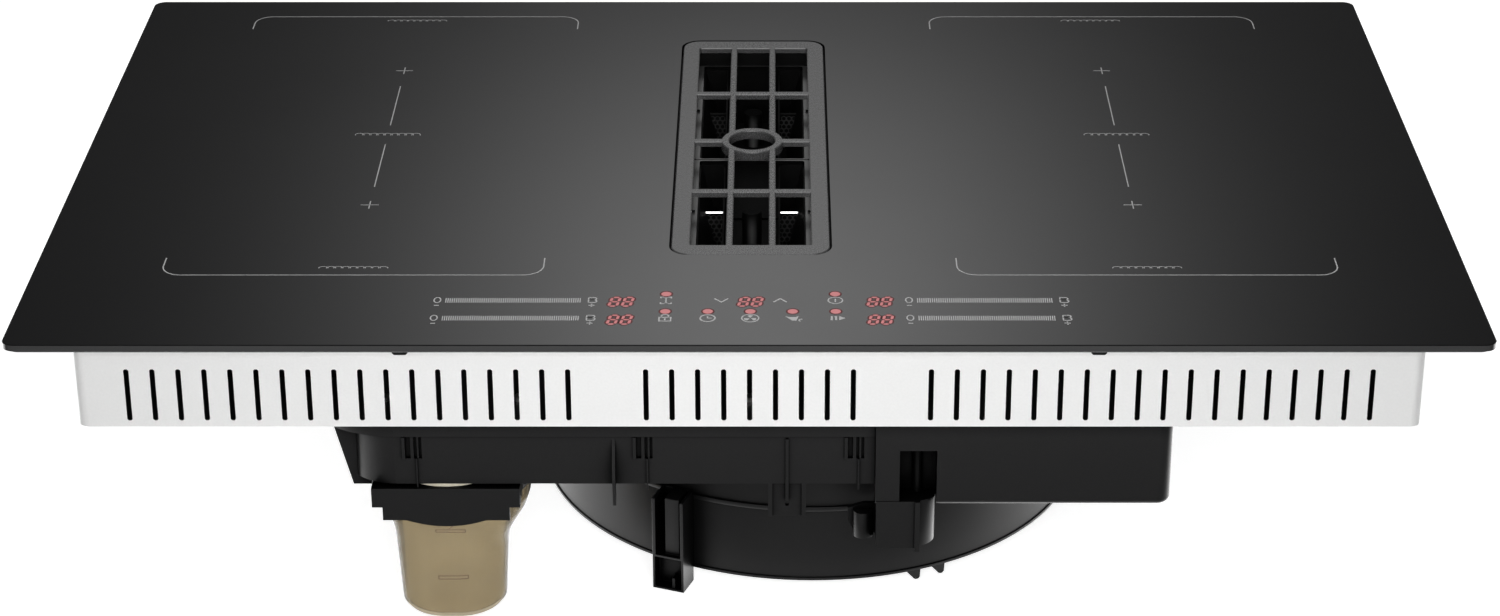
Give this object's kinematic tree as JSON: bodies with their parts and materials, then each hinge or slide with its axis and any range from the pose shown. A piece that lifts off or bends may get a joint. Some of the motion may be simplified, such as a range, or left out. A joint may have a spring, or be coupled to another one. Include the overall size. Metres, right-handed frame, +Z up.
{
  "type": "downdraft induction cooktop",
  "caption": "Built-in induction cooktop: a black glass plate with a central extraction grille over a slotted tray, a moulded air box, a round fan casing and a small overflow cup.",
  "frame": {"origin": "centre of the glass plate on the plane of the worktop, which is the underside of the glass", "axes": "+X towards the right-hand side, +Y towards the back, +Z up; the touch controls face -Y"},
  "size_m": [0.83, 0.52, 0.217],
  "materials": {
    "black_glass": "gloss glass ceramic, opaque, ground bevel",
    "rim_foam": "closed-cell foam tape",
    "silicone": "soft matt silicone",
    "white_steel": "light satin sheet steel",
    "black_plastic": "satin moulded",
    "grille_metal": "satin dark grey coating",
    "filter_steel": "expanded mesh in a rolled frame",
    "zinc_steel": "zinc plated",
    "litz_wire": "enamelled stranded wire",
    "former_plastic": "heat-proof moulded",
    "ferrite": "matt sintered",
    "mica": "pressed sheet",
    "aluminium": "mill finish",
    "motor_metal": "die cast",
    "circuit_board": "solder-masked laminate",
    "display": "smoked light box",
    "sensor_white": "glazed ceramic look",
    "cream_plastic": "satin moulded",
    "smoky_plastic": "translucent smoky moulded"
  },
  "bodies": {
    "hob": {"air_box": "black_plastic", "blower_case_left": "black_plastic", "blower_case_right": "black_plastic", "box_screws": "zinc_steel", "box_seal": "rim_foam", "cable_gland": "black_plastic", "casing_lower": "black_plastic", "casing_screws": "zinc_steel", "casing_upper": "black_plastic", "centre_stud": "black_plastic", "clamp_screws": "zinc_steel", "coil_carrier_left": "aluminium", "coil_carrier_right": "aluminium", "coil_former_front_left": "former_plastic", "coil_former_front_right": "former_plastic", "coil_former_rear_left": "former_plastic", "coil_former_rear_right": "former_plastic", "coil_winding_front_left": "litz_wire", "coil_winding_front_right": "litz_wire", "coil_winding_rear_left": "litz_wire", "coil_winding_rear_right": "litz_wire", "control_board": "circuit_board", "control_bracket": "black_plastic", "cup_holder": "black_plastic", "cup_seal": "silicone", "display_modules": "display", "drain_ring": "cream_plastic", "driver_board": "circuit_board", "driver_box": "black_plastic", "duct_well": "black_plastic", "edge_clips": "black_plastic", "exhaust_collar": "black_plastic", "ferrites_left": "ferrite", "ferrites_right": "ferrite", "glass_bond": "silicone", "glass_top": "black_glass", "heat_sink_left": "aluminium", "heat_sink_right": "aluminium", "hold_down_clamps": "zinc_steel", "housing_tray": "white_steel", "mica_sheets": "mica", "motor": "motor_metal", "motor_screws": "zinc_steel", "power_board_left": "circuit_board", "power_board_right": "circuit_board", "rim_seal": "rim_foam", "spring_posts": "zinc_steel", "support_leg": "black_plastic", "temperature_sensors": "sensor_white", "terminal_box": "black_plastic"},
    "grille": {"grille": "grille_metal"},
    "filter_front": {"filter_frame_front": "filter_steel", "filter_basket_front": "filter_steel"},
    "filter_rear": {"filter_frame_rear": "filter_steel", "filter_basket_rear": "filter_steel"},
    "cup": {"overflow_cup": "smoky_plastic"},
    "fan": {"fan_wheel": "black_plastic", "fan_shaft": "zinc_steel"},
    "blower_left": {"blower_wheel_left": "black_plastic"},
    "blower_right": {"blower_wheel_right": "black_plastic"}
  },
  "joints": [
    {"name": "grille_lift", "type": "slide", "parent": "hob", "child": "grille", "axis": [0, 0, 1], "range_m": [0, 0.16]},
    {"name": "filter_front_lift", "type": "slide", "parent": "hob", "child": "filter_front", "axis": [0, 0, 1], "range_m": [0, 0.1]},
    {"name": "filter_rear_lift", "type": "slide", "parent": "hob", "child": "filter_rear", "axis": [0, 0, 1], "range_m": [0, 0.1]},
    {"name": "cup_drop", "type": "slide", "parent": "hob", "child": "cup", "axis": [0, 0, -1], "range_m": [0, 0.06]},
    {"name": "fan_spin", "type": "hinge", "parent": "hob", "child": "fan", "pos_m": [0.037, 0.005, -0.17], "axis": [0, 0, 1], "continuous": true},
    {"name": "blower_spin_left", "type": "hinge", "parent": "hob", "child": "blower_left", "pos_m": [-0.275, -0.14, -0.048], "axis": [0, 0, 1], "continuous": true},
    {"name": "blower_spin_right", "type": "hinge", "parent": "hob", "child": "blower_right", "pos_m": [0.275, -0.14, -0.048], "axis": [0, 0, 1], "continuous": true}
  ],
  "couplings": [
    {"joint": "filter_front_lift", "follows": "grille_lift", "ratio": 0.6},
    {"joint": "filter_rear_lift", "follows": "grille_lift", "ratio": 0.6}
  ]
}
